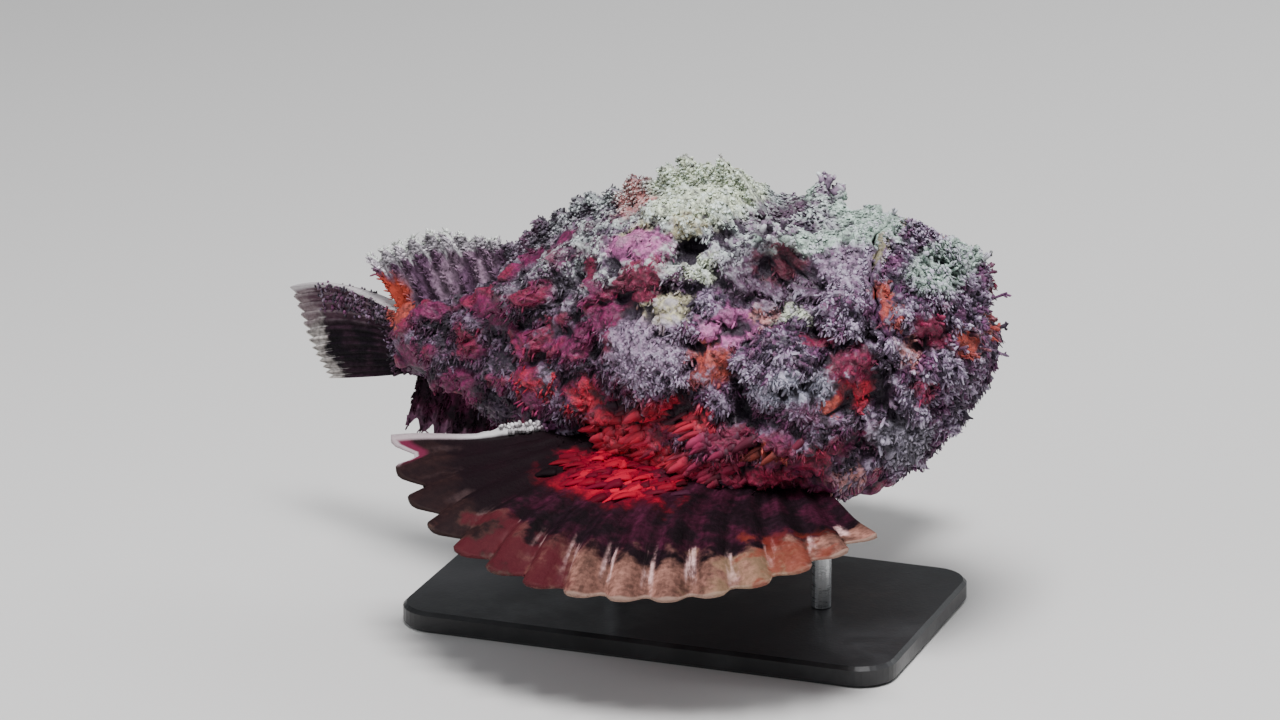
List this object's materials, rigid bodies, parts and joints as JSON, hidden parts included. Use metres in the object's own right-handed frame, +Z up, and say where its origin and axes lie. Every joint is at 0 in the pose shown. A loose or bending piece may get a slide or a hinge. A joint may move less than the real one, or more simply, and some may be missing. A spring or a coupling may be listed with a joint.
{
  "type": "stonefish model on display stand",
  "caption": "Life-size reef stonefish, swimming with its fan-like breast fins spread and its tail swung to its left, on a flat base with two short rods.",
  "frame": {"origin": "centre of the stand base's underside", "axes": "+X towards the snout, +Y to the fish's left, +Z up"},
  "size_m": [0.3158, 0.2721, 0.1938],
  "materials": {
    "skin": "rough mauve-grey skin with crimson, coral-red and pale green-grey patches",
    "fins": "dark brown fleshy fins with tan and pink scalloped edges",
    "eyes": "wet dark eye with a mottled maroon iris",
    "stand_plate": "satin black paint",
    "stand_steel": "brushed steel"
  },
  "bodies": {
    "root": {"head": "skin", "lower_jaw": "skin", "trunk": "skin", "tail": "skin", "dorsal_fin_spiny": "skin", "dorsal_fin_soft": "fins", "anal_fin": "fins", "tail_fin": "fins", "pectoral_fin_right": "fins", "pectoral_fin_left": "fins", "pelvic_fin_right": "fins", "pelvic_fin_left": "fins", "eye_right": "eyes", "eye_left": "eyes", "stand_base": "stand_plate", "stand_rod_1": "stand_steel", "stand_rod_2": "stand_steel"}
  },
  "joints": []
}
